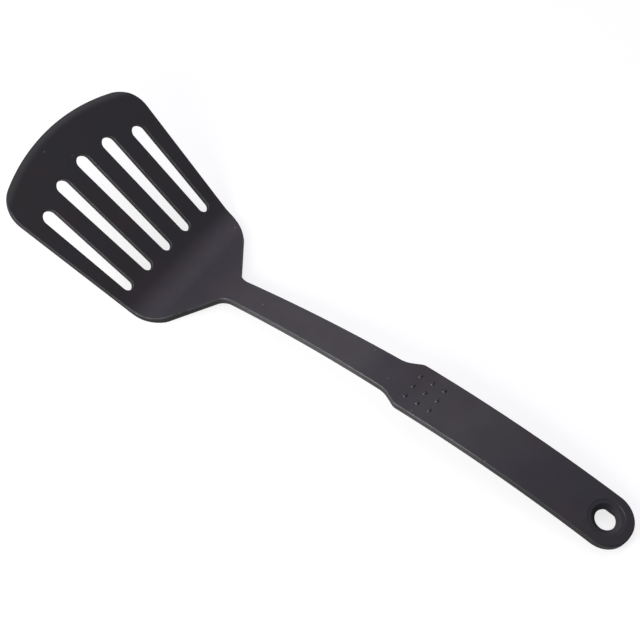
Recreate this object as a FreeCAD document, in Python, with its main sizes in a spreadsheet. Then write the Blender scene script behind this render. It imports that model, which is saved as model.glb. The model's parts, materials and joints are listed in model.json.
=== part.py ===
import FreeCAD, Part
import math
import os
import Sketcher
from FreeCAD import Placement, Rotation, Vector

# One-piece slotted turner, moulded in black nylon, in millimetres.
#
# It is drawn in the moulding frame: the blade's top skin is the plane Z = 0,
# X runs from the middle of the blade's front edge to the end of the grip, and
# the mould opens along Z.  The finished sub-parts are then laid down as the
# turner lies on a table, on its heel and the end of its grip.

DIMENSIONS = (
    # plan outline: distances from the front edge, and half widths
    ("front_radius", 94.6),
    ("corner_half", 47.3),
    ("corner_radius", 15.1),
    ("shoulder_x", 95.5),
    ("shoulder_half", 35.5),
    ("shoulder_radius", 15.1),
    ("neck_x", 110.6),
    ("neck_half", 6.55),
    ("neck_radius", 5.3),
    ("flare_x", 185.2),
    ("flare_half", 8.75),
    ("flare_radius", 10.1),
    ("grip_x", 191.75),
    ("grip_half", 12.7),
    ("grip_radius", 3.75),
    ("plan_length", 300.0),
    ("end_half", 13.05),
    ("end_radius", 12.2),
    # side profile: flat blade, heel bend, long arch
    ("heel_x", 82.7),
    ("heel_radius", 23.3),
    ("heel_angle", 40.35),
    ("heel_under_radius", 27.0),
    ("arch_radius", 523.0),
    ("blade_thickness", 2.8),
    ("rim_depth", 3.75),
    # rounded arrises round the rim, above and below
    ("top_round", 0.6),
    ("under_round", 0.4),
    # bevelled lip along the front edge, which runs out round both corners
    ("lip_width", 3.9),
    ("lip_drop", 1.3),
    # five slots in a fan, each wider at the front
    ("slot_front_radius", 3.72),
    ("slot_rear_radius", 2.8),
    ("slot_rear_x", 75.8),
    ("slot_rear_pitch", 14.44),
    ("slot_fan", 2.26),
    ("slot_front_gap", 22.13),
    ("slot_round", 0.3),
    # underside recess, its walls and ribs
    ("wall", 2.0),
    ("skin_drop", 2.55),
    ("recess_x", 121.0),
    ("rib_gap", 10.0),
    ("rib_width", 1.6),
    ("rib_relief", 0.25),
    ("cross_rib_x", 197.0),
    ("cross_rib_pitch", 19.0),
    # hanging eye: dished ring round the bore
    ("eye_x", 287.6),
    ("eye_round_radius", 9.3),
    ("eye_rim_radius", 9.15),
    ("eye_rim_rise", 0.2),
    ("eye_dish_radius", 8.75),
    ("eye_dish_depth", 0.25),
    ("eye_lead_radius", 7.1),
    ("eye_lead_depth", 0.35),
    ("bore_radius", 5.0),
    ("bore_top_depth", 1.55),
    # thumb nubs
    ("nub_x", 193.4),
    ("nub_pitch", 6.3),
    ("nub_radius", 1.05),
    ("nub_height", 0.5),
    # planes that part the moulding into its named stretches
    ("shank_x", 118.0),
    ("grip_start_x", 184.0),
    # cutters reach this far beyond the moulding
    ("margin", 12.0),
    ("stock_height", 130.0),
)

SLOT_STEPS = (-2, -1, 0, 1, 2)
NUB_ROWS = 3
NUB_COLUMNS = 3
CROSS_RIBS = 4


class Turner:
    """The document, its sheet of dimensions and the shapes that parts share."""

    def __init__(self):
        self.doc = FreeCAD.newDocument("turner")
        self.sheet = self.doc.addObject("Spreadsheet::Sheet", "Dims")
        self.rows = 0
        for alias, value in DIMENSIONS:
            self.add_cell(alias, value)
        self.doc.recompute()
        for step in SLOT_STEPS:
            if step >= 0:
                self.add_cell("slot_length_%d" % step, slot_length(self, step))
        self.doc.recompute()

    def add_cell(self, alias, value):
        self.rows += 1
        self.sheet.set("A%d" % self.rows, alias.replace("_", " "))
        self.sheet.set("B%d" % self.rows, "%.6g" % value)
        self.sheet.setAlias("B%d" % self.rows, alias)

    def size(self, alias):
        return float(self.sheet.get(alias))

    # ---- small builders -------------------------------------------------

    def sketch(self, name, role, raised=None):
        """A body holding one sketch on one of its origin planes."""
        body = self.doc.addObject("PartDesign::Body", name)
        sketch = body.newObject("Sketcher::SketchObject", name + "_sketch")
        plane = [item for item in body.Origin.OriginFeatures if item.Role == role][0]
        sketch.AttachmentSupport = [(plane, "")]
        sketch.MapMode = "FlatFace"
        if raised:
            sketch.setExpression("AttachmentOffset.Base.z", raised)
        return body, sketch

    def bind(self, sketch, kind, items, value, expression):
        """Add a dimension to a sketch and tie it to the sheet."""
        index = sketch.addConstraint(Sketcher.Constraint(kind, *items, value))
        sketch.setExpression("Constraints[%d]" % index, expression)

    def place(self, sketch, edge, end, axis, alias, sign=1):
        """Tie one coordinate of an edge's end (or centre) to the sheet."""
        prefix = "-" if sign < 0 else ""
        value = sign * self.size(alias)
        self.bind(sketch, "Distance" + axis, (-1, 1, edge, end), value, prefix + "Dims." + alias)

    def solve(self, sketch):
        if sketch.solve() != 0:
            raise ValueError("sketch %s has no solution" % sketch.Label)

    def extrude(self, name, base, length, reverse="0"):
        prism = self.doc.addObject("Part::Extrusion", name)
        prism.Base = base
        prism.DirMode = "Normal"
        prism.Solid = True
        prism.setExpression("LengthFwd", length)
        prism.setExpression("LengthRev", reverse)
        return prism

    def common(self, name, first, second):
        result = self.doc.addObject("Part::Common", name)
        result.Base = first
        result.Tool = second
        return result

    def cut(self, name, base, tool):
        result = self.doc.addObject("Part::Cut", name)
        result.Base = base
        result.Tool = tool
        return result

    def fuse(self, name, shapes):
        result = self.doc.addObject("Part::MultiFuse", name)
        result.Shapes = shapes
        return result

    def slab(self, name, start, end):
        """A block across the whole moulding, from X = start to X = end."""
        block = self.doc.addObject("Part::Box", name)
        block.setExpression("Placement.Base.x", start)
        block.setExpression("Placement.Base.y", "-Dims.front_radius")
        block.setExpression("Placement.Base.z", "-Dims.margin")
        block.setExpression("Length", "(%s) - (%s)" % (end, start))
        block.setExpression("Width", "2 * Dims.front_radius")
        block.setExpression("Height", "Dims.stock_height + Dims.margin")
        return block

    def on_arch(self, item, angle, height):
        """Set an object on the arch's skin at a slope, raised along the normal."""
        centre = self.arch_centre()
        reach = self.size("arch_radius") + height
        tilt = math.radians(angle)
        base = centre + Vector(-math.sin(tilt), 0, math.cos(tilt)) * reach
        item.Placement = Placement(base, Rotation(Vector(0, 1, 0), -angle))

    # ---- places worked out from the dimensions --------------------------

    def heel_end(self):
        radius = self.size("heel_radius")
        angle = math.radians(self.size("heel_angle"))
        run = self.size("heel_x") + radius * math.sin(angle)
        return Vector(run, 0, radius * (1 - math.cos(angle)))

    def arch_centre(self):
        radius = self.size("arch_radius")
        angle = math.radians(self.size("heel_angle"))
        return self.heel_end() + Vector(math.sin(angle), 0, -math.cos(angle)) * radius

    def slope_at(self, x):
        """The arch's slope, in degrees, above a place along X."""
        return math.degrees(math.asin((self.arch_centre().x - x) / self.size("arch_radius")))


# ---- the moulding's outer shape ------------------------------------------


def plan_outline(turner):
    """Sketch of the outline: a front arc and straight runs, mirrored about X."""
    body, sketch = turner.sketch("plan", "XY_Plane")
    stations = [
        ("corner", None, "corner_half"),
        ("shoulder", "shoulder_x", "shoulder_half"),
        ("neck", "neck_x", "neck_half"),
        ("flare", "flare_x", "flare_half"),
        ("grip", "grip_x", "grip_half"),
        ("end", "plan_length", "end_half"),
    ]
    front = turner.size("front_radius")
    corner_half = turner.size("corner_half")
    corner_x = front - math.sqrt(front**2 - corner_half**2)
    points = [Vector(corner_x, corner_half, 0)]
    for _, x_alias, half_alias in stations[1:]:
        points.append(Vector(turner.size(x_alias), turner.size(half_alias), 0))
    around = points + [Vector(point.x, -point.y, 0) for point in reversed(points)]
    for start, end in zip(around[:-1], around[1:]):
        sketch.addGeometry(Part.LineSegment(start, end), False)
    spread = math.asin(corner_half / front)
    circle = Part.Circle(Vector(front, 0, 0), Vector(0, 0, 1), front)
    arc = sketch.addGeometry(Part.ArcOfCircle(circle, math.pi - spread, math.pi + spread), False)
    runs = len(around) - 1
    for run in range(runs - 1):
        sketch.addConstraint(Sketcher.Constraint("Coincident", run, 2, run + 1, 1))
    sketch.addConstraint(Sketcher.Constraint("Coincident", arc, 1, 0, 1))
    sketch.addConstraint(Sketcher.Constraint("Coincident", arc, 2, runs - 1, 2))
    for run in range(len(stations)):
        mirrored = runs - 1 - run
        if run != mirrored:
            sketch.addConstraint(Sketcher.Constraint("Symmetric", run, 1, mirrored, 2, -1))
    last = len(stations) - 1
    sketch.addConstraint(Sketcher.Constraint("Symmetric", last, 1, last, 2, -1))
    for run, (_, x_alias, half_alias) in enumerate(stations):
        turner.place(sketch, run, 1, "Y", half_alias)
        if x_alias:
            turner.place(sketch, run, 1, "X", x_alias)
    turner.bind(sketch, "Radius", (arc,), front, "Dims.front_radius")
    turner.place(sketch, arc, 3, "X", "front_radius")
    turner.solve(sketch)
    return body, sketch


def upright_edges(shape, x, half):
    """Names of the edges that stand along Z at one place on both sides."""
    names = []
    for number, edge in enumerate(shape.Edges, start=1):
        ends = [vertex.Point for vertex in edge.Vertexes]
        upright = len(ends) == 2 and math.hypot(ends[0].x - ends[1].x, ends[0].y - ends[1].y) < 1e-6
        if upright and math.hypot(ends[0].x - x, abs(ends[0].y) - half) < 1e-3:
            names.append("Edge%d" % number)
    return names


def plan_prism(turner):
    """The outline as a tall prism, with every corner rounded in turn."""
    body, sketch = plan_outline(turner)
    pad = body.newObject("PartDesign::Pad", "plan_pad")
    pad.Profile = sketch
    pad.SideType = "Symmetric"
    pad.setExpression("Length", "2 * Dims.stock_height")
    front = turner.size("front_radius")
    corner_half = turner.size("corner_half")
    corner_x = front - math.sqrt(front**2 - corner_half**2)
    rounded = [("corner", corner_x, corner_half)]
    for name in ("shoulder", "neck", "flare", "grip"):
        rounded.append((name, turner.size(name + "_x"), turner.size(name + "_half")))
    rounded.append(("end", turner.size("plan_length"), turner.size("end_half")))
    base = pad
    for name, x, half in rounded:
        turner.doc.recompute()
        fillet = body.newObject("PartDesign::Fillet", name + "_fillet")
        fillet.Base = (base, upright_edges(base.Shape, x, half))
        fillet.setExpression("Radius", "Dims.%s_radius" % name)
        base = fillet
    turner.doc.recompute()
    return body


def profile_outline(turner):
    """Sketch of the side view: skin and underside of blade, heel and arch."""
    body, sketch = turner.sketch("profile", "XZ_Plane")
    size = turner.size
    margin = size("margin")
    heel_angle = math.radians(size("heel_angle"))
    heel_end = turner.heel_end()
    hub = turner.arch_centre()
    arch = size("arch_radius")
    under_arch = arch - size("rim_depth")
    end_angle = math.asin((hub.x - size("plan_length") - margin) / arch)
    under = size("heel_under_radius")
    under_height = under - size("blade_thickness")
    under_x = hub.x - math.sqrt((under + under_arch) ** 2 - (under_height - hub.z) ** 2)
    meet = math.atan2(under_height - hub.z, under_x - hub.x)
    up = Vector(0, 0, 1)

    def arc(x, z, radius, start, end):
        circle = Part.Circle(Vector(x, z, 0), up, radius)
        return sketch.addGeometry(Part.ArcOfCircle(circle, start, end), False)

    def line(x1, z1, x2, z2):
        return sketch.addGeometry(Part.LineSegment(Vector(x1, z1, 0), Vector(x2, z2, 0)), False)

    def radial(radius):
        return hub.x - radius * math.sin(end_angle), hub.z + radius * math.cos(end_angle)

    right = math.pi / 2
    heel_x = size("heel_x")
    thickness = size("blade_thickness")
    top = line(-margin, 0, heel_x, 0)
    heel = arc(heel_x, size("heel_radius"), size("heel_radius"), -right, heel_angle - right)
    crown = arc(hub.x, hub.z, arch, right + end_angle, right + heel_angle)
    end = line(*radial(arch), *radial(under_arch))
    belly = arc(hub.x, hub.z, under_arch, right + end_angle, meet)
    heel_under = arc(under_x, under_height, under, -right, meet - math.pi)
    floor = line(under_x, -thickness, -margin, -thickness)
    nose = line(-margin, -thickness, -margin, 0)

    for first, first_end, second, second_end in (
        (top, 2, heel, 1),
        (heel, 2, crown, 2),
        (belly, 2, heel_under, 2),
        (heel_under, 1, floor, 1),
    ):
        sketch.addConstraint(Sketcher.Constraint("Tangent", first, first_end, second, second_end))
    for first, first_end, second, second_end in (
        (crown, 1, end, 1),
        (end, 2, belly, 1),
        (floor, 2, nose, 1),
        (nose, 2, top, 1),
    ):
        sketch.addConstraint(Sketcher.Constraint("Coincident", first, first_end, second, second_end))
    sketch.addConstraint(Sketcher.Constraint("PointOnObject", top, 1, -1))
    sketch.addConstraint(Sketcher.Constraint("Horizontal", top))
    sketch.addConstraint(Sketcher.Constraint("Horizontal", floor))
    sketch.addConstraint(Sketcher.Constraint("Vertical", nose))
    sketch.addConstraint(Sketcher.Constraint("Coincident", crown, 3, belly, 3))
    sketch.addConstraint(Sketcher.Constraint("PointOnObject", crown, 3, end))
    turner.place(sketch, top, 1, "X", "margin", -1)
    turner.place(sketch, top, 2, "X", "heel_x")
    turner.place(sketch, floor, 2, "Y", "blade_thickness", -1)
    turner.bind(sketch, "Radius", (heel,), size("heel_radius"), "Dims.heel_radius")
    turner.bind(sketch, "Angle", (heel,), heel_angle, "Dims.heel_angle * 1 deg")
    turner.bind(sketch, "Radius", (crown,), arch, "Dims.arch_radius")
    turner.bind(sketch, "Radius", (belly,), under_arch, "Dims.arch_radius - Dims.rim_depth")
    turner.bind(sketch, "Radius", (heel_under,), under, "Dims.heel_under_radius")
    far = size("plan_length") + margin
    turner.bind(sketch, "DistanceX", (-1, 1, crown, 1), far, "Dims.plan_length + Dims.margin")
    turner.solve(sketch)
    return sketch


def rim_edges(shape, side):
    """Names of the edges where the rim wall meets the skin (1) or underside (-1)."""
    faces_of = {}
    for face in shape.Faces:
        for edge in face.Edges:
            faces_of.setdefault(edge.hashCode(), []).append(face)
    names = []
    for number, edge in enumerate(shape.Edges, start=1):
        middle = edge.valueAt((edge.FirstParameter + edge.LastParameter) / 2)
        normals = []
        for face in faces_of[edge.hashCode()]:
            normals.append(face.normalAt(*face.Surface.parameter(middle)))
        if len(normals) == 2 and abs(normals[0].dot(normals[1])) < 0.1:
            if max(normal.z * side for normal in normals) > 0.7:
                names.append("Edge%d" % number)
    return names


def walled_skin(turner, plan, side_prism):
    """The skin inside the outline, thickened so that its walls stand square to it."""
    turner.doc.recompute()
    names = []
    for number, face in enumerate(side_prism.Shape.Faces, start=1):
        if face.normalAt(*face.Surface.parameter(face.CenterOfMass)).z > 0.5:
            names.append("Face%d" % number)
    skin = turner.doc.addObject("PartDesign::SubShapeBinder", "skin")
    skin.Support = [(side_prism, tuple(names))]
    walled = turner.doc.addObject("Part::Offset", "walled_skin")
    walled.Source = turner.common("trimmed_skin", skin, plan)
    walled.setExpression("Value", "-2 * Dims.rim_depth")
    walled.Fill = True
    return walled


def moulding(turner, plan, profile):
    """The whole outer shape, with its rim rounded above and below."""
    side_prism = turner.extrude("side_prism", profile, "Dims.front_radius", "Dims.front_radius")
    walled = walled_skin(turner, plan, side_prism)
    block = turner.common("outline_and_profile", walled, side_prism)
    turner.doc.recompute()
    body = turner.doc.addObject("PartDesign::Body", "moulding")
    body.BaseFeature = block
    turner.doc.recompute()
    base = body.Group[0]
    for name, side in (("top_round", 1), ("under_round", -1)):
        fillet = body.newObject("PartDesign::Fillet", name)
        fillet.Base = (base, rim_edges(base.Shape, side))
        fillet.setExpression("Radius", "Dims." + name)
        turner.doc.recompute()
        base = fillet
    return body


# ---- blade and lip --------------------------------------------------------


def lip_outline(turner, name):
    """Sketch that follows the front arc past both corners, then runs straight back."""
    body, sketch = turner.sketch(name, "XY_Plane", "-Dims.lip_drop")
    front = turner.size("front_radius")
    side = turner.size("corner_half") + turner.size("margin")
    back = turner.size("neck_x")
    spread = math.asin(side / front)
    tip = front - math.sqrt(front**2 - side**2)
    up = Vector(0, 0, 1)

    def line(x1, y1, x2, y2):
        return sketch.addGeometry(Part.LineSegment(Vector(x1, y1, 0), Vector(x2, y2, 0)), False)

    circle = Part.Circle(Vector(front, 0, 0), up, front)
    nose = sketch.addGeometry(Part.ArcOfCircle(circle, math.pi - spread, math.pi + spread), False)
    left_side = line(tip, side, back, side)
    rear = line(back, side, back, -side)
    right_side = line(back, -side, tip, -side)
    for first, first_end, second, second_end in (
        (nose, 1, left_side, 1),
        (left_side, 2, rear, 1),
        (rear, 2, right_side, 1),
        (right_side, 2, nose, 2),
    ):
        sketch.addConstraint(
            Sketcher.Constraint("Coincident", first, first_end, second, second_end)
        )
    sketch.addConstraint(Sketcher.Constraint("Vertical", rear))
    sketch.addConstraint(Sketcher.Constraint("Horizontal", left_side))
    sketch.addConstraint(Sketcher.Constraint("Horizontal", right_side))
    turner.place(sketch, nose, 3, "X", "front_radius")
    sketch.addConstraint(Sketcher.Constraint("PointOnObject", nose, 3, -1))
    turner.bind(sketch, "Radius", (nose,), front, "Dims.front_radius")
    half = "Dims.corner_half + Dims.margin"
    turner.bind(sketch, "DistanceY", (-1, 1, left_side, 1), side, half)
    turner.bind(sketch, "DistanceY", (-1, 1, right_side, 1), -side, "-(%s)" % half)
    turner.place(sketch, rear, 1, "X", "neck_x")
    turner.solve(sketch)
    return body, sketch


def lip_shapes(turner):
    """The tapered prism that bevels the lip, and the prism inside its inner edge."""
    body, sketch = lip_outline(turner, "lip_bevel")
    down = body.newObject("PartDesign::Pad", "below_bevel")
    down.Profile = sketch
    down.Reversed = True
    down.setExpression("Length", "Dims.margin")
    up = body.newObject("PartDesign::Pad", "bevel")
    up.Profile = sketch
    up.setExpression("Length", "2 * Dims.lip_drop")
    up.setExpression("TaperAngle", "-atan(Dims.lip_width / Dims.lip_drop)")
    inner = turner.doc.addObject("Part::Offset2D", "lip_inner_edge")
    inner.Source = sketch
    inner.setExpression("Value", "-Dims.lip_width")
    return body, turner.extrude("inside_lip", inner, "Dims.margin", "Dims.margin")


def slot_cutter(turner, step):
    """One round-ended, tapered slot, drawn along X from its rear and turned into the fan."""
    name = "slot_%s%d" % ("right" if step < 0 else "left", abs(step))
    body, sketch = turner.sketch(name, "XY_Plane")
    rear_radius = turner.size("slot_rear_radius")
    front_radius = turner.size("slot_front_radius")
    length = slot_length(turner, step)
    up = Vector(0, 0, 1)
    rear = Vector(0, 0, 0)
    front = Vector(-length, 0, 0)
    corner = math.acos((front_radius - rear_radius) / length)
    across = Vector(math.cos(corner), math.sin(corner), 0)
    mirrored = Vector(across.x, -across.y, 0)
    near = sketch.addGeometry(
        Part.ArcOfCircle(Part.Circle(rear, up, rear_radius), -corner, corner), False
    )
    far = sketch.addGeometry(
        Part.ArcOfCircle(Part.Circle(front, up, front_radius), corner, 2 * math.pi - corner), False
    )
    top = sketch.addGeometry(
        Part.LineSegment(rear + across * rear_radius, front + across * front_radius), False
    )
    low = sketch.addGeometry(
        Part.LineSegment(front + mirrored * front_radius, rear + mirrored * rear_radius), False
    )
    for first, first_end, second, second_end in (
        (near, 2, top, 1),
        (top, 2, far, 1),
        (far, 2, low, 1),
        (low, 2, near, 1),
    ):
        sketch.addConstraint(Sketcher.Constraint("Tangent", first, first_end, second, second_end))
    sketch.addConstraint(Sketcher.Constraint("Coincident", near, 3, -1, 1))
    sketch.addConstraint(Sketcher.Constraint("PointOnObject", far, 3, -1))
    turner.bind(sketch, "Radius", (near,), rear_radius, "Dims.slot_rear_radius")
    turner.bind(sketch, "Radius", (far,), front_radius, "Dims.slot_front_radius")
    turner.bind(sketch, "DistanceX", (-1, 1, far, 3), -length, "-Dims.slot_length_%d" % abs(step))
    turner.solve(sketch)
    pad = body.newObject("PartDesign::Pad", name + "_pad")
    pad.Profile = sketch
    pad.SideType = "Symmetric"
    pad.setExpression("Length", "2 * Dims.margin")
    body.Placement.Rotation = Rotation(Vector(0, 0, 1), -step * turner.size("slot_fan"))
    body.setExpression("Placement.Base.x", "Dims.slot_rear_x")
    body.setExpression("Placement.Base.y", "%d * Dims.slot_rear_pitch" % step)
    return body


def slot_length(turner, step):
    """From a slot's rear centre, along the fan, to the arc of the front centres."""
    front = turner.size("front_radius")
    fan = math.radians(turner.size("slot_fan") * step)
    rear = Vector(turner.size("slot_rear_x") - front, step * turner.size("slot_rear_pitch"), 0)
    along = rear.dot(Vector(-math.cos(fan), math.sin(fan), 0))
    reach = rear.dot(rear) - (front - turner.size("slot_front_gap")) ** 2
    return math.sqrt(along**2 - reach) - along


def blade_and_lip(turner, body):
    """The slotted plate, and the bevelled lip that runs round its front."""
    flat = turner.common("flat_stretch", body, turner.slab("blade_range", "-Dims.margin", "Dims.heel_x"))
    bevel, inside = lip_shapes(turner)
    flat = turner.common("bevelled_stretch", flat, bevel)
    lip = turner.cut("front_lip", flat, inside)
    slots = turner.fuse("slots", [slot_cutter(turner, step) for step in SLOT_STEPS])
    plate = turner.cut("slotted_plate", turner.common("plate", flat, inside), slots)
    turner.doc.recompute()
    blade = turner.doc.addObject("PartDesign::Body", "blade")
    blade.BaseFeature = plate
    turner.doc.recompute()
    fillet = blade.newObject("PartDesign::Fillet", "slot_rims")
    fillet.Base = (blade.Group[0], slot_rims(turner, blade.Group[0].Shape))
    fillet.setExpression("Radius", "Dims.slot_round")
    return blade, lip


def slot_rims(turner, shape):
    """Names of the edges round both mouths of every slot."""
    names = []
    for number, edge in enumerate(shape.Edges, start=1):
        middle = edge.valueAt((edge.FirstParameter + edge.LastParameter) / 2)
        for step in SLOT_STEPS:
            fan = math.radians(turner.size("slot_fan") * step)
            along = Vector(-math.cos(fan), math.sin(fan), 0)
            rear = Vector(turner.size("slot_rear_x"), step * turner.size("slot_rear_pitch"), 0)
            offset = Vector(middle.x, middle.y, 0) - rear
            station = min(max(offset.dot(along), 0), slot_length(turner, step))
            gap = (offset - along * station).Length
            level = abs(edge.Vertexes[0].Z - edge.Vertexes[-1].Z) < 1e-6
            if level and gap < turner.size("slot_front_radius") + turner.size("slot_round"):
                names.append("Edge%d" % number)
    return names


# ---- heel, shank, grip and what is on them -------------------------------


def recess_shape(turner, plan, profile):
    """The hollow under shank and grip: inside the walls, and below the skin."""
    heights = [face.CenterOfMass.z for face in plan.Shape.Faces]
    top_face = "Face%d" % (heights.index(max(heights)) + 1)
    outline = turner.doc.addObject("PartDesign::SubShapeBinder", "rounded_outline")
    outline.Support = [(plan, (top_face,))]
    inner = turner.doc.addObject("Part::Offset2D", "recess_edge")
    inner.Source = outline
    inner.Join = "Intersection"
    inner.setExpression("Value", "-Dims.wall")
    column = turner.extrude("recess_column", inner, "2 * Dims.stock_height", "2 * Dims.stock_height")
    lowered = turner.extrude("lowered_profile", profile, "Dims.front_radius", "Dims.front_radius")
    lowered.setExpression("Placement.Base.z", "-Dims.skin_drop")
    hollow = turner.common("recess_below_skin", column, lowered)
    reach = turner.slab("recess_range", "Dims.recess_x", "Dims.plan_length + Dims.margin")
    return turner.common("recess", hollow, reach)


def rib_room(turner, recess, profile):
    """The part of the recess that ribs may fill, which stops short of the rim."""
    raised = turner.extrude("raised_profile", profile, "Dims.front_radius", "Dims.front_radius")
    raised.setExpression("Placement.Base.z", "Dims.rib_relief")
    return turner.common("rib_room", recess, raised)


def spine_ribs(turner, room):
    """Two long ribs that flank the middle channel, from the thumb end to the wall."""
    rails = []
    for name, side in (("left", 1), ("right", -1)):
        rail = turner.slab(name + "_rail", "Dims.grip_x", "Dims.plan_length + Dims.margin")
        inner = "Dims.rib_gap / 2" if side > 0 else "-Dims.rib_gap / 2 - Dims.rib_width"
        rail.setExpression("Placement.Base.y", inner)
        rail.setExpression("Width", "Dims.rib_width")
        rails.append(rail)
    return turner.common("spine_ribs", turner.fuse("rails", rails), room)


def shank_rib(turner, room):
    """One rib along the middle of the shank's recess."""
    rail = turner.slab("shank_rail", "Dims.recess_x", "Dims.grip_start_x")
    rail.setExpression("Placement.Base.y", "-Dims.rib_width / 2")
    rail.setExpression("Width", "Dims.rib_width")
    return turner.common("shank_rib", rail, room)


def cross_ribs(turner, room, spine):
    """Short ribs across the grip's recess, stopped at each long rib."""
    bars = []
    for number in range(CROSS_RIBS):
        start = "Dims.cross_rib_x + %d * Dims.cross_rib_pitch" % number
        bars.append(turner.slab("cross_bar_%d" % (number + 1), start, start + " + Dims.rib_width"))
    across = turner.common("cross_bars", turner.fuse("bars", bars), room)
    return turner.cut("cross_ribs", across, spine)


def eye_cutter(turner):
    """Turned shape of the dish, the step down to the hole, and the bore."""
    body, sketch = turner.sketch("eye_cutter", "XZ_Plane")
    stations = (
        (None, "margin", 1),
        ("eye_rim_radius", "margin", 1),
        ("eye_rim_radius", "eye_rim_rise", 1),
        ("eye_dish_radius", "eye_dish_depth", -1),
        ("eye_lead_radius", "eye_lead_depth", -1),
        ("bore_radius", "bore_top_depth", -1),
        ("bore_radius", "margin", -1),
        (None, "margin", -1),
    )
    points = []
    for radius_alias, height_alias, sign in stations:
        radius = turner.size(radius_alias) if radius_alias else 0
        points.append(Vector(radius, sign * turner.size(height_alias), 0))
    count = len(points)
    for index in range(count):
        sketch.addGeometry(Part.LineSegment(points[index], points[(index + 1) % count]), False)
    for index in range(count):
        following = (index + 1) % count
        sketch.addConstraint(Sketcher.Constraint("Coincident", index, 2, following, 1))
    for index, (radius_alias, height_alias, sign) in enumerate(stations):
        if radius_alias:
            turner.place(sketch, index, 1, "X", radius_alias)
        else:
            sketch.addConstraint(Sketcher.Constraint("PointOnObject", index, 1, -2))
        turner.place(sketch, index, 1, "Y", height_alias, sign)
    turner.solve(sketch)
    turned = body.newObject("PartDesign::Revolution", "eye_turned")
    turned.Profile = sketch
    turned.ReferenceAxis = (sketch, ["V_Axis"])
    turner.on_arch(body, turner.slope_at(turner.size("eye_x")), 0)
    return body


def eye_plug(turner):
    """The round of skin that the dish and hole are cut in."""
    plug = turner.doc.addObject("Part::Cylinder", "eye_round")
    plug.setExpression("Radius", "Dims.eye_round_radius")
    plug.setExpression("Height", "2 * Dims.margin")
    turner.on_arch(plug, turner.slope_at(turner.size("eye_x")), -turner.size("margin"))
    return plug


def thumb_nubs(turner, body):
    """Rows of low round nubs where the thumb presses, standing on the skin."""
    radius = turner.size("nub_radius")
    height = turner.size("nub_height")
    ball_radius = (radius**2 + height**2) / (2 * height)
    pitch = turner.size("nub_pitch")
    first = turner.slope_at(turner.size("nub_x"))
    step = math.degrees(pitch / turner.size("arch_radius"))
    balls = []
    for column in range(NUB_COLUMNS):
        for row in range(NUB_ROWS):
            ball = turner.doc.addObject("Part::Sphere", "nub_%d%d" % (column + 1, row + 1))
            squares = "(Dims.nub_radius ^ 2 + Dims.nub_height ^ 2)"
            ball.setExpression("Radius", squares + " / (2 * Dims.nub_height)")
            turner.on_arch(ball, first - column * step, height - ball_radius)
            ball.Placement.Base.y = (row - (NUB_ROWS - 1) / 2) * pitch
            balls.append(ball)
    return turner.cut("thumb_nubs", turner.fuse("balls", balls), body)


def handle_parts(turner, plan, body, profile):
    """Heel, shank and grip, the ribs inside them, the eye and the thumb nubs."""
    recess = recess_shape(turner, plan, profile)
    hollow = turner.cut("hollowed", body, recess)
    heel = turner.common("heel", body, turner.slab("heel_range", "Dims.heel_x", "Dims.shank_x"))
    shank_range = turner.slab("shank_range", "Dims.shank_x", "Dims.grip_start_x")
    shank = turner.common("shank", hollow, shank_range)
    grip_range = turner.slab("grip_range", "Dims.grip_start_x", "Dims.plan_length + Dims.margin")
    grip_stock = turner.common("grip_stock", hollow, grip_range)
    plug = eye_plug(turner)
    grip = turner.cut("grip", grip_stock, plug)
    eye_stock = turner.common("eye_stock", grip_stock, plug)
    eye = turner.cut("hanging_eye", eye_stock, eye_cutter(turner))
    room = rib_room(turner, recess, profile)
    spine = spine_ribs(turner, room)
    across = cross_ribs(turner, room, spine)
    return [heel, shank, shank_rib(turner, room), grip, eye, spine, across, thumb_nubs(turner, body)]


# ---- laid on the table, checked and written ------------------------------


def lay_down(turner, parts):
    """Turn the moulding until heel and grip end touch the table, then set it on Z = 0."""
    hub = turner.arch_centre()
    under = turner.size("heel_under_radius")
    centre_z = under - turner.size("blade_thickness")
    reach = under + turner.size("arch_radius") - turner.size("rim_depth")
    centre_x = hub.x - math.sqrt(reach**2 - (centre_z - hub.z) ** 2)
    under_arch = turner.size("arch_radius") - turner.size("rim_depth")
    end_slope = math.radians(turner.slope_at(turner.size("plan_length")))
    tip_x = hub.x - under_arch * math.sin(end_slope)
    tip_z = hub.z + under_arch * math.cos(end_slope)
    span = math.hypot(tip_x - centre_x, tip_z - centre_z)
    tilt = math.degrees(math.atan2(tip_z - centre_z, tip_x - centre_x) + math.asin(under / span))
    turn = Rotation(Vector(0, 1, 0), tilt)
    whole = Part.makeCompound([part.Shape for part in parts])
    whole.Placement = Placement(Vector(0, 0, 0), turn)
    box = whole.optimalBoundingBox(False, False)
    shift = Vector(-box.Center.x, -box.Center.y, -box.ZMin)
    for part in parts:
        part.Placement = Placement(shift, turn).multiply(part.Placement)
    print("tilt %.3f shift %.4f %.4f" % (tilt, shift.x, shift.z))


def check(turner, parts):
    for item in turner.doc.Objects:
        if "Invalid" in item.State or "Error" in item.State:
            raise ValueError("%s failed: %s" % (item.Name, item.State))
    for part in parts:
        shape = part.Shape
        if shape.isNull() or not shape.isValid() or not shape.Solids:
            raise ValueError("%s has no valid solid" % part.Label)


def main():
    turner = Turner()
    plan = plan_prism(turner)
    profile = profile_outline(turner)
    body = moulding(turner, plan, profile)
    blade, lip = blade_and_lip(turner, body)
    parts = [blade, lip] + handle_parts(turner, plan, body, profile)
    turner.doc.recompute()
    check(turner, parts)
    lay_down(turner, parts)
    check(turner, parts)
    os.makedirs("parts", exist_ok=True)
    for part in parts:
        part.Shape.exportStep("parts/%s.step" % part.Label)
        shape = part.Shape
        print("%-12s %2d solids %9.1f mm3" % (part.Label, len(shape.Solids), shape.Volume))


main()
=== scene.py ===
import json
import math

import bpy
from mathutils import Matrix, Vector


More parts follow.
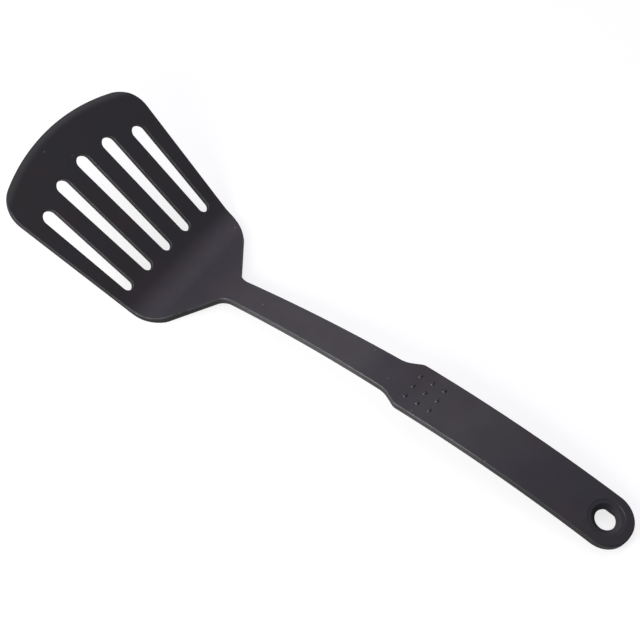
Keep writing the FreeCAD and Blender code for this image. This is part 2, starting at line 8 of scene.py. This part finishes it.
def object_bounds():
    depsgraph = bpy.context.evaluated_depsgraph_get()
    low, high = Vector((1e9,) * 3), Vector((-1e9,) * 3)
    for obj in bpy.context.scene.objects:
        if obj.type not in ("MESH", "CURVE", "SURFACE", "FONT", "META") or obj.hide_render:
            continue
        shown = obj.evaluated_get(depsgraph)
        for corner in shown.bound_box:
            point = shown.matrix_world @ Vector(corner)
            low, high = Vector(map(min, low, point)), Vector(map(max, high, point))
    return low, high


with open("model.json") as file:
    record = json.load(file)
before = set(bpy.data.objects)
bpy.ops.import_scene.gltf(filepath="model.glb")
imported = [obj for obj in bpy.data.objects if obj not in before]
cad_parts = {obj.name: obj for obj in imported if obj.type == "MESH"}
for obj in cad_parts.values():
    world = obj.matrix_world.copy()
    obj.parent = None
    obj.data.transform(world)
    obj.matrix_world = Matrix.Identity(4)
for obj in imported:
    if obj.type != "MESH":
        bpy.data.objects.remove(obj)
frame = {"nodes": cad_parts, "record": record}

# The looks of a black nylon slotted turner, lying on a pale studio floor.
#
# The solids come from the CAD frame and keep their shape: the turner is one
# moulding, so one procedural nylon covers every node and runs on unbroken
# across the cuts between them.  Lengths are in metres.

CAD_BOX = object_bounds()


# ---- side profile of the moulding ------------------------------------------

# the skin lies flat along the blade, turns up through the heel, and arches over the handle
HEEL_RADIUS = 0.0233
HEEL_ANGLE = math.radians(40.35)
ARCH_RADIUS = 0.523
# how far below the skin the handle's rim reaches, and the hanging hole's mount lies
RIM_DEPTH = 0.00375
MOUNT_DEPTH = 0.0020


def mount(name):
    """Position and axis of one of the record's mounts."""
    for item in frame["record"]["mounts"]:
        if item["name"] == name:
            return Vector(item["pos_m"]), Vector(item["axis"]).normalized()
    raise ValueError("no mount called " + name)


def tilted(angle):
    """Unit vector square to the skin where it leans by an angle towards +X."""
    return Vector((math.sin(angle), 0, math.cos(angle)))


def along(normal):
    """Unit vector along the skin, towards the grip, for the skin's normal."""
    return Vector((normal.z, 0, -normal.x))


HOLE, HOLE_AXIS = mount("hanging_hole")
BLADE_NORMAL = -mount("blade_underside")[1]
HEEL_NORMAL = tilted(math.atan2(BLADE_NORMAL.x, BLADE_NORMAL.z) - HEEL_ANGLE)
ARCH_CENTRE = HOLE - HOLE_AXIS * (ARCH_RADIUS - MOUNT_DEPTH)
HEEL_CENTRE = ARCH_CENTRE + HEEL_NORMAL * (ARCH_RADIUS + HEEL_RADIUS)


# ---- node helpers ----------------------------------------------------------

# sockets of the Mix node for each kind of value: two inputs and the output
MIX_SOCKETS = {"FLOAT": (2, 3, 0), "VECTOR": (4, 5, 1), "RGBA": (6, 7, 2)}
# a spot is full out to this share of its radius, and only cells above this level have one
SPOT_CORE = 0.4
SPOT_LEVEL = 0.94


class Nodes:
    """Short names for building a node tree."""

    def __init__(self, tree):
        self.tree = tree
        self.tree.nodes.clear()

    def add(self, kind, **values):
        """A new node with its properties set."""
        node = self.tree.nodes.new(kind)
        for name, value in values.items():
            setattr(node, name, value)
        return node

    def join(self, source, target):
        """Link an output to an input, or set the input to a constant."""
        if isinstance(source, bpy.types.NodeSocket):
            self.tree.links.new(source, target)
        else:
            target.default_value = source

    def math(self, operation, *inputs):
        """One number made from others."""
        node = self.add("ShaderNodeMath", operation=operation)
        for socket, value in zip(node.inputs, inputs):
            self.join(value, socket)
        return node.outputs[0]

    def product(self, first, *others):
        """All the numbers multiplied together."""
        for value in others:
            first = self.math("MULTIPLY", first, value)
        return first

    def total(self, first, second):
        """The sum of two numbers."""
        return self.math("ADD", first, second)

    def vector(self, operation, *inputs):
        """A vector made from others, or its length or dot product."""
        node = self.add("ShaderNodeVectorMath", operation=operation)
        for socket, value in zip(node.inputs, inputs):
            self.join(value, socket)
        return node.outputs["Value" if operation in ("DOT_PRODUCT", "LENGTH") else "Vector"]

    def remap(self, value, limits, results, curve="LINEAR"):
        """Carry a value from one range to another, and hold it there."""
        node = self.add("ShaderNodeMapRange", interpolation_type=curve)
        names = ("Value", "From Min", "From Max", "To Min", "To Max")
        for name, setting in zip(names, (value, *limits, *results)):
            self.join(setting, node.inputs[name])
        return node.outputs["Result"]

    def fade(self, value, limits, results):
        """The same, with a smooth start and end."""
        return self.remap(value, limits, results, "SMOOTHSTEP")

    def mix(self, kind, factor, when_zero, when_one):
        """Go from one value to the other as the factor goes from 0 to 1."""
        first, second, output = MIX_SOCKETS[kind]
        node = self.add("ShaderNodeMix", data_type=kind)
        self.join(factor, node.inputs[0])
        self.join(when_zero, node.inputs[first])
        self.join(when_one, node.inputs[second])
        return node.outputs[output]

    def noise(self, place, scale, detail=2.0, roughness=0.5):
        """Cloudy noise around 0.5."""
        node = self.add("ShaderNodeTexNoise")
        self.join(place, node.inputs["Vector"])
        self.join(scale, node.inputs["Scale"])
        self.join(detail, node.inputs["Detail"])
        self.join(roughness, node.inputs["Roughness"])
        return node.outputs["Fac"]

    def spots(self, place, scale, radius):
        """Sparse round spots, 1 in their middle and 0 outside."""
        node = self.add("ShaderNodeTexVoronoi")
        self.join(place, node.inputs["Vector"])
        self.join(scale, node.inputs["Scale"])
        near = self.fade(node.outputs["Distance"], (radius, radius * SPOT_CORE), (0.0, 1.0))
        parts = self.add("ShaderNodeSeparateColor")
        self.join(node.outputs["Color"], parts.inputs[0])
        rare = self.math("GREATER_THAN", parts.outputs[0], SPOT_LEVEL)
        return self.product(near, rare)

    def finish(self, kind, source):
        """End the tree with its output node."""
        self.join(source, self.add(kind).inputs["Surface"])


# ---- nylon -----------------------------------------------------------------

# where the stretches of the turner fade in and out: past the end of the blade,
HANDLE_BEGINS = (-0.012, 0.006)
# and past the end of the heel
SHANK_BEGINS = (0.002, 0.032)
SHANK_ENDS = (0.084, 0.104)
PALM_BEGINS = (0.112, 0.128)
# where the painted light fades out towards the grip's end, which lies in shade
LIGHT_ENDS = (0.140, 0.180)
# painted sheen of the palm's stretch against the shank's, and painted light that is left at the
# grip's end
PALM_SHEEN = 0.6
END_LIGHT = 0.15
# the slots keep within this of the middle, and get less painted light on their walls and arrises
# than the handle
SLOTS_HALF_WIDTH = 0.0348
SLOTS_FADE = 0.0005
SLOTS_LIGHT = 0.45

# cosine between the surface and the skin: 1 on the skin, 0 on a side wall
WALL_LEAN = (0.2, 0.5)
ARRIS_LEAN = (0.75, 0.96)
# depths below the skin
ARRIS_DEPTH = (0.0006, 0.0011)
ARRIS_WANDER = 0.00015
LIP_ROLL_DEPTH = (0.0, 0.0009)
LIP_EDGE_DEPTH = (0.0002, 0.0009)
# distances from the waist, which is the middle of a side wall
WAIST_EDGE = (0.0006, 0.0012)

# colours, and the share that some of them take at most
BLUE_BLACK = (0.0115, 0.0115, 0.0160, 1)
WARM_BLACK = (0.0150, 0.0100, 0.0140, 1)
BLUSH = (0.0220, 0.0105, 0.0155, 1)
BLUSH_SHARE = 0.6
# painted shade: the blade's colour darkened where it reflects less light
BLADE_SHADE = (0.0030, 0.0028, 0.0028, 1)
BLADE_SHADE_SHARE = 0.42
# painted sheen: a lighter colour on the shank and palm, where they catch more light
PAINTED_SHEEN = (0.0290, 0.0250, 0.0285, 1)
# painted shade: the nubs' colour darkened so their shaded sides read deeper
NUB_SHADE = (0.0020, 0.0020, 0.0025, 1)
NUB_SHADE_SHARE = 0.7
# painted light and shade on the side walls: painted shade for most walls, a painted shadow band
# at the waist, painted light at the rims, and painted sheen
WALL_SHADE = (0.0050, 0.0050, 0.0050, 1)
WALL_WAIST_SHADE = (0.0150, 0.0145, 0.0150, 1)
WALL_RIM_LIGHT = (0.0290, 0.0285, 0.0290, 1)
WALL_SHEEN = (0.0600, 0.0590, 0.0610, 1)
WALL_SHEEN_SHARE = 0.5
# painted highlight along the arrises, broken here and there
ARRIS_HIGHLIGHT = (0.0600, 0.0590, 0.0620, 1)
ARRIS_HIGHLIGHT_SHARE = 0.7
LIP_GREY = (0.0150, 0.0165, 0.0135, 1)
LIP_SHARE = 0.8
DUST_GREY = (0.1600, 0.1600, 0.1700, 1)
DUST_SHARE = 0.45
PIT_BLACK = (0.0040, 0.0040, 0.0050, 1)
PIT_SHARE = 0.6

# roughness, how much more of it the handle has, and gloss
RUBBED_ROUGHNESS = (0.18, 0.24)
SKIN_ROUGHNESS = (0.47, 0.55)
HANDLE_ROUGHER = 0.03
WALL_ROUGHNESS = (0.72, 0.60)
ARRIS_ROUGHNESS = 0.36
SKIN_GLOSS = 0.5
RUBBED_GLOSS = 0.65

# noise: features per metre, and the levels that it is cut between
DRIFT_SCALE = 48.0
BLUSH_SCALE = 62.0
CLOUD_SCALE = 75.0
SINK_SCALE = 90.0
WANDER_SCALE = 160.0
BREAK_SCALE = 210.0
GRAIN_SCALE = 3200.0
NOISE_LEVELS = (0.3, 0.7)
DRIFT_LEVELS = (0.36, 0.64)
BLUSH_LEVELS = (0.52, 0.74)
BREAK_LEVELS = (0.36, 0.54)
BREAK_LEAST = 0.35
BLUSH_SHIFT = (1.3, 0.4, 0.9)

# spots: how many to a metre, and their radius as a share of their spacing
DUST_SPOTS = (230.0, 0.13)
PIT_SPOTS = (330.0, 0.16)
PIT_SHIFT = (0.37, 0.11, 0.73)

# relief: heights, the slope of the walls, and how far the lip's edge leans to the skin
SKIN_GRAIN = 0.000012
WALL_GRAIN = 0.000030
SINK_HEIGHT = 0.00003
PIT_HEIGHT = -0.00002
DRAFT_SLOPE = -math.tan(math.radians(4))
LIP_ROLL = 0.9


def skin_below(nodes, place):
    """Depth of a point under the skin, the skin's normal, and how far past blade and heel."""
    side_view = nodes.vector("MULTIPLY", place, (1, 0, 1))
    from_heel = nodes.vector("SUBTRACT", side_view, HEEL_CENTRE)
    from_arch = nodes.vector("SUBTRACT", side_view, ARCH_CENTRE)
    below_blade = nodes.vector("DOT_PRODUCT", from_heel, -BLADE_NORMAL)
    below_blade = nodes.math("SUBTRACT", below_blade, HEEL_RADIUS)
    below_heel = nodes.math("SUBTRACT", nodes.vector("LENGTH", from_heel), HEEL_RADIUS)
    below_arch = nodes.math("SUBTRACT", ARCH_RADIUS, nodes.vector("LENGTH", from_arch))
    after_blade = nodes.vector("DOT_PRODUCT", from_heel, along(BLADE_NORMAL))
    after_heel = nodes.vector("DOT_PRODUCT", from_heel, along(HEEL_NORMAL))
    past_blade = nodes.math("GREATER_THAN", after_blade, 0.0)
    past_heel = nodes.math("GREATER_THAN", after_heel, 0.0)
    depth = nodes.mix("FLOAT", past_blade, below_blade, below_heel)
    depth = nodes.mix("FLOAT", past_heel, depth, below_arch)
    heel_up = nodes.vector("MULTIPLY", nodes.vector("NORMALIZE", from_heel), (-1, -1, -1))
    up = nodes.mix("VECTOR", past_blade, BLADE_NORMAL, heel_up)
    up = nodes.mix("VECTOR", past_heel, up, nodes.vector("NORMALIZE", from_arch))
    return depth, up, after_blade, after_heel


class Skin:
    """What varies over the turner: its stretches, side walls, arrises and flaws."""

    def __init__(self, nodes, lip):
        self.place = nodes.add("ShaderNodeTexCoord").outputs["Object"]
        self.normal = nodes.add("ShaderNodeNewGeometry").outputs["Normal"]
        self.depth, self.up, after_blade, after_heel = skin_below(nodes, self.place)
        self.stretches(nodes, after_blade, after_heel)
        self.edges(nodes, 0.0 if lip else self.slots(nodes))
        self.dust = nodes.spots(self.place, *DUST_SPOTS)
        self.pits = nodes.spots(nodes.vector("ADD", self.place, PIT_SHIFT), *PIT_SPOTS)

    def stretches(self, nodes, after_blade, after_heel):
        """Stretches of the turner, each fading into the next, with the painted light and painted
        sheen laid on them.
        """
        self.handle = nodes.fade(after_blade, HANDLE_BEGINS, (0.0, 1.0))
        self.shank = nodes.fade(after_heel, SHANK_BEGINS, (0.0, 1.0))
        # painted light and sheen fade out towards the grip's end, which is left in painted shade
        self.painted_light = nodes.fade(after_heel, LIGHT_ENDS, (1.0, END_LIGHT))
        # painted sheen on the shank and palm, lighter where they catch more light
        sheened = nodes.product(self.shank, nodes.fade(after_heel, SHANK_ENDS, (1.0, 0.0)))
        sheened = nodes.total(sheened, nodes.fade(after_heel, PALM_BEGINS, (0.0, PALM_SHEEN)))
        self.sheened = nodes.product(sheened, self.painted_light)

    def slots(self, nodes):
        """Painted light on the walls and arrises of the slots, which lie about the middle of the
        blade.
        """
        across = nodes.math("ABSOLUTE", nodes.vector("DOT_PRODUCT", self.place, (0, 1, 0)))
        limits = (SLOTS_HALF_WIDTH, SLOTS_HALF_WIDTH + SLOTS_FADE)
        within = nodes.remap(across, limits, (SLOTS_LIGHT, 0.0))
        return nodes.product(within, nodes.math("SUBTRACT", 1.0, self.handle))

    def edges(self, nodes, slots):
        """Side walls, the lit walls that are painted lighter, and the rounded arrises above them
        with their painted highlight, broken here and there.
        """
        from_waist = nodes.math("SUBTRACT", self.depth, RIM_DEPTH * 0.5)
        self.from_waist = nodes.math("ABSOLUTE", from_waist)
        upright = nodes.vector("DOT_PRODUCT", self.normal, self.up)
        self.wall = nodes.fade(nodes.math("ABSOLUTE", upright), WALL_LEAN, (1.0, 0.0))
        # walls of the shank and of the slots are painted lighter, as lit walls; the others keep a
        # painted shade
        wall_light = nodes.total(nodes.product(self.shank, self.painted_light), slots)
        self.lit_wall = nodes.product(self.wall, wall_light)
        wander = nodes.noise(self.place, WANDER_SCALE, detail=3.0)
        wander = nodes.remap(wander, NOISE_LEVELS, (-ARRIS_WANDER, ARRIS_WANDER))
        rim = nodes.fade(nodes.total(self.depth, wander), ARRIS_DEPTH, (1.0, 0.0))
        turned = nodes.fade(upright, ARRIS_LEAN, (1.0, 0.0))
        broken = nodes.noise(self.place, BREAK_SCALE)
        broken = nodes.fade(broken, BREAK_LEVELS, (BREAK_LEAST, 1.0))
        # arrises of the handle and the slots carry a painted highlight in their colour, and a
        # real gloss in their roughness
        highlit = nodes.total(nodes.product(self.handle, self.painted_light), slots)
        self.arris = nodes.product(rim, turned, broken, highlit)


def pigment(nodes, skin, rubbed_and_shaded, lip):
    """Colour: blacks that drift between blue and warm, with painted shade, painted sheen, painted
    highlights, dust and pits.
    """

    def coat(share, colour, coating):
        return nodes.mix("RGBA", share, colour, coating)

    drift = nodes.noise(skin.place, DRIFT_SCALE, detail=3.0)
    colour = coat(nodes.remap(drift, DRIFT_LEVELS, (0.0, 1.0)), BLUE_BLACK, WARM_BLACK)
    blush = nodes.noise(nodes.vector("ADD", skin.place, BLUSH_SHIFT), BLUSH_SCALE)
    colour = coat(nodes.fade(blush, BLUSH_LEVELS, (0.0, BLUSH_SHARE)), colour, BLUSH)
    # painted shade: the blade darkened where it reflects less light than the handle
    blade = nodes.remap(skin.handle, (0.0, 1.0), (BLADE_SHADE_SHARE, 0.0))
    colour = coat(blade, colour, BLADE_SHADE)
    # painted sheen: shank and palm lightened as if they caught more light
    colour = coat(skin.sheened, colour, PAINTED_SHEEN)
    # painted shade: the nubs darkened so their shaded sides read deeper; their gloss is real
    if rubbed_and_shaded:
        colour = coat(NUB_SHADE_SHARE, colour, NUB_SHADE)

    # painted light and shade on the side walls: a painted shadow band at the waist, painted light
    # towards their rims, painted sheen on the shank, painted shade on the other walls; and a
    # painted highlight on the arrises
    rim = nodes.fade(skin.from_waist, WAIST_EDGE, (0.0, 1.0))
    side = coat(rim, WALL_WAIST_SHADE, WALL_RIM_LIGHT)
    side = coat(nodes.product(skin.sheened, WALL_SHEEN_SHARE), side, WALL_SHEEN)
    colour = coat(skin.wall, colour, WALL_SHADE)
    colour = coat(skin.lit_wall, colour, side)
    # painted highlight along the arrises
    colour = coat(nodes.product(skin.arris, ARRIS_HIGHLIGHT_SHARE), colour, ARRIS_HIGHLIGHT)
    if lip:
        edge = nodes.fade(skin.depth, LIP_EDGE_DEPTH, (0.0, LIP_SHARE))
        colour = coat(edge, colour, LIP_GREY)
    colour = coat(nodes.product(skin.dust, DUST_SHARE), colour, DUST_GREY)
    return coat(nodes.product(skin.pits, PIT_SHARE), colour, PIT_BLACK)


def satin(nodes, skin, rubbed_and_shaded):
    """Roughness: cloudy where the nylon cooled unevenly, a little glossier on the blade."""
    cloud = nodes.noise(skin.place, CLOUD_SCALE, detail=4.0, roughness=0.6)
    if rubbed_and_shaded:
        return nodes.remap(cloud, NOISE_LEVELS, RUBBED_ROUGHNESS)
    roughness = nodes.remap(cloud, NOISE_LEVELS, SKIN_ROUGHNESS)
    roughness = nodes.total(roughness, nodes.product(skin.handle, HANDLE_ROUGHER))
    wall = nodes.remap(skin.shank, (0.0, 1.0), WALL_ROUGHNESS)
    roughness = nodes.mix("FLOAT", skin.wall, roughness, wall)
    return nodes.mix("FLOAT", skin.arris, roughness, ARRIS_ROUGHNESS)


def relief(nodes, skin, lip):
    """Normal: mould grain that is coarser on the walls, slow sink marks, draft and pits."""
    height = nodes.remap(skin.wall, (0.0, 1.0), (SKIN_GRAIN, WALL_GRAIN))
    grain = nodes.noise(skin.place, GRAIN_SCALE, detail=3.0, roughness=0.6)
    grain = nodes.product(grain, height)
    sink = nodes.product(nodes.noise(skin.place, SINK_SCALE), SINK_HEIGHT)
    draft = nodes.product(skin.from_waist, DRAFT_SLOPE)
    pits = nodes.product(skin.pits, PIT_HEIGHT)
    marks = nodes.total(nodes.total(grain, sink), nodes.total(draft, pits))
    bump = nodes.add("ShaderNodeBump")
    bump.inputs["Distance"].default_value = 1.0
    bump.inputs["Strength"].default_value = 1.0
    nodes.join(marks, bump.inputs["Height"])
    if lip:
        roll = nodes.remap(skin.depth, LIP_ROLL_DEPTH, (LIP_ROLL, 0.0))
        rolled = nodes.mix("VECTOR", roll, skin.normal, skin.up)
        nodes.join(nodes.vector("NORMALIZE", rolled), bump.inputs["Normal"])
    return bump.outputs[0]


def nylon(name, rubbed_and_shaded=False, lip=False):
    """Black nylon: satin skin, duller side walls, glossier arrises with a painted highlight.

    The blade is painted darker as shade, the shank carries a painted sheen, the thumb rubs
    its nubs smooth and they carry painted shade, and the lip rolls over softly from the blade.
    """
    material = bpy.data.materials.new(name)
    material.use_nodes = True
    nodes = Nodes(material.node_tree)
    skin = Skin(nodes, lip)
    shader = nodes.add("ShaderNodeBsdfPrincipled")
    shader.inputs["Specular IOR Level"].default_value = RUBBED_GLOSS if rubbed_and_shaded else SKIN_GLOSS
    nodes.join(pigment(nodes, skin, rubbed_and_shaded, lip), shader.inputs["Base Color"])
    nodes.join(satin(nodes, skin, rubbed_and_shaded), shader.inputs["Roughness"])
    nodes.join(relief(nodes, skin, lip), shader.inputs["Normal"])
    nodes.finish("ShaderNodeOutputMaterial", shader.outputs[0])
    return material


def dress():
    """Give every CAD node its finish of nylon."""
    plain = nylon("nylon")
    finishes = {
        # the nubs are rubbed glossy, and carry painted shade in their colour
        "thumb_nubs": nylon("nylon_rubbed_shaded", rubbed_and_shaded=True),
        "front_lip": nylon("nylon_lip", lip=True),
    }
    for name, item in frame["nodes"].items():
        for slot in item.material_slots:
            slot.material = finishes.get(name.split("[")[0], plain)


# ---- studio ----------------------------------------------------------------

FLOOR_SIZE = 6.0
FLOOR_GAP = 0.0002
# reflectance and glow of the floor, as the camera sees it and as it lights the turner
FLOOR_SEEN = (0.35, 0.76)
FLOOR_LIT = (0.88, 0.04)

# soft lights: compass direction from +X, height above the floor, strength, colour
WHITE = (1.0, 0.98, 1.0)
VIOLET = (1.0, 0.94, 1.12)
SOFT_LIGHTS = (
    (120, 50, 1.9, VIOLET),
    (60, 50, 0.2, WHITE),
    (258, 31, 0.7, WHITE),
    (0, 90, 0.3, WHITE),
    (225, 15, 1.5, WHITE),
)
LIGHT_SPREAD = 8.0
DIM_ROOM = 0.03

# softboxes near the turner: centre, width, height, power
SOFTBOXES = {
    "front_softbox": ((-0.05, -0.34, 0.20), 0.25, 0.20, 1.2),
    "left_softbox": ((-0.45, -0.25, 0.15), 0.30, 0.20, 0.5),
}
SOFTBOX_AIM = Vector((-0.03, 0, 0.02))

# camera: direction, roll and distance from the point it looks at
CAMERA_AZIMUTH = math.radians(28.71)
CAMERA_ELEVATION = math.radians(55.0)
CAMERA_ROLL = math.radians(7.13)
CAMERA_DISTANCE = 0.7812
CAMERA_AIM = (CAD_BOX[0] + CAD_BOX[1]) / 2 + Vector((-0.00485, -0.00019, 0.00154))
# lens and sensor in millimetres, and the range it sees
CAMERA_LENS = 98.44
CAMERA_SENSOR = 36.0
CAMERA_RANGE = (0.01, 20.0)


def place_in_scene(name, data):
    """A new object in the scene that holds a mesh, a light or a camera."""
    item = bpy.data.objects.new(name, data)
    bpy.context.scene.collection.objects.link(item)
    return item


def seen_by_camera(nodes):
    """1 for the camera's own rays and 0 for light that goes round the scene."""
    return nodes.add("ShaderNodeLightPath").outputs["Is Camera Ray"]


def pale_floor():
    """A matt material that comes out white to the camera, and lights the turner as a pale one."""
    material = bpy.data.materials.new("pale_floor")
    material.use_nodes = True
    nodes = Nodes(material.node_tree)
    shader = nodes.add("ShaderNodeBsdfPrincipled")
    shader.inputs["Roughness"].default_value = 0.9
    shader.inputs["Specular IOR Level"].default_value = 0.1
    shader.inputs["Emission Color"].default_value = (1, 1, 1, 1)
    seen = seen_by_camera(nodes)
    names = ("Base Color", "Emission Strength")
    for name, lit, shown in zip(names, FLOOR_LIT, FLOOR_SEEN):
        nodes.join(nodes.mix("FLOAT", seen, lit, shown), shader.inputs[name])
    nodes.finish("ShaderNodeOutputMaterial", shader.outputs[0])
    return material


def floor():
    """A plain square floor, just below the turner."""
    mesh = bpy.data.meshes.new("floor")
    half = FLOOR_SIZE / 2
    corners = [(-half, -half, 0), (half, -half, 0), (half, half, 0), (-half, half, 0)]
    mesh.from_pydata(corners, [], [(0, 1, 2, 3)])
    mesh.materials.append(pale_floor())
    item = place_in_scene("floor", mesh)
    item.location.z = CAD_BOX[0].z - FLOOR_GAP


def surroundings():
    """A dim room with large soft lights that fade at their edges, and a white backdrop."""
    world = bpy.data.worlds.new("studio")
    world.use_nodes = True
    nodes = Nodes(world.node_tree)
    direction = nodes.add("ShaderNodeTexCoord").outputs["Generated"]
    room = (DIM_ROOM, DIM_ROOM, DIM_ROOM)
    for compass, height, strength, colour in SOFT_LIGHTS:
        compass, height = math.radians(compass), math.radians(height)
        centre = (
            math.cos(compass) * math.cos(height),
            math.sin(compass) * math.cos(height),
            math.sin(height),
        )
        towards = nodes.math("MAXIMUM", nodes.vector("DOT_PRODUCT", direction, centre), 0.0)
        glow = nodes.vector("MULTIPLY", nodes.math("POWER", towards, LIGHT_SPREAD), colour)
        room = nodes.vector("ADD", room, nodes.vector("MULTIPLY", glow, (strength,) * 3))
    background = nodes.add("ShaderNodeBackground")
    shown = nodes.mix("VECTOR", seen_by_camera(nodes), room, (1, 1, 1))
    nodes.join(shown, background.inputs["Color"])
    nodes.finish("ShaderNodeOutputWorld", background.outputs[0])
    bpy.context.scene.world = world


def softbox(name, centre, width, height, power):
    """A rectangular area light that faces the turner and doesn't show."""
    light = bpy.data.lights.new(name, "AREA")
    light.shape = "RECTANGLE"
    light.size = width
    light.size_y = height
    light.energy = power
    item = place_in_scene(name, light)
    item.location = centre
    item.rotation_euler = (Vector(centre) - SOFTBOX_AIM).to_track_quat("Z", "Y").to_euler()
    item.visible_camera = False


def camera():
    """A camera on the -Y side, round towards the grip, that looks down on the turner."""
    data = bpy.data.cameras.new("camera")
    data.lens = CAMERA_LENS
    data.sensor_width = CAMERA_SENSOR
    data.clip_start, data.clip_end = CAMERA_RANGE
    item = place_in_scene("camera", data)
    level = math.cos(CAMERA_ELEVATION)
    back = Vector((
        math.sin(CAMERA_AZIMUTH) * level,
        -math.cos(CAMERA_AZIMUTH) * level,
        math.sin(CAMERA_ELEVATION),
    ))
    turn = back.to_track_quat("Z", "Y").to_matrix() @ Matrix.Rotation(CAMERA_ROLL, 3, "Z")
    position = CAMERA_AIM + back * CAMERA_DISTANCE
    item.matrix_world = Matrix.Translation(position) @ turn.to_4x4()
    bpy.context.scene.camera = item


def studio():
    """Floor, lights and camera."""
    floor()
    surroundings()
    for name, settings in SOFTBOXES.items():
        softbox(name, *settings)
    camera()
    bpy.context.scene.view_settings.view_transform = "Standard"


dress()
studio()
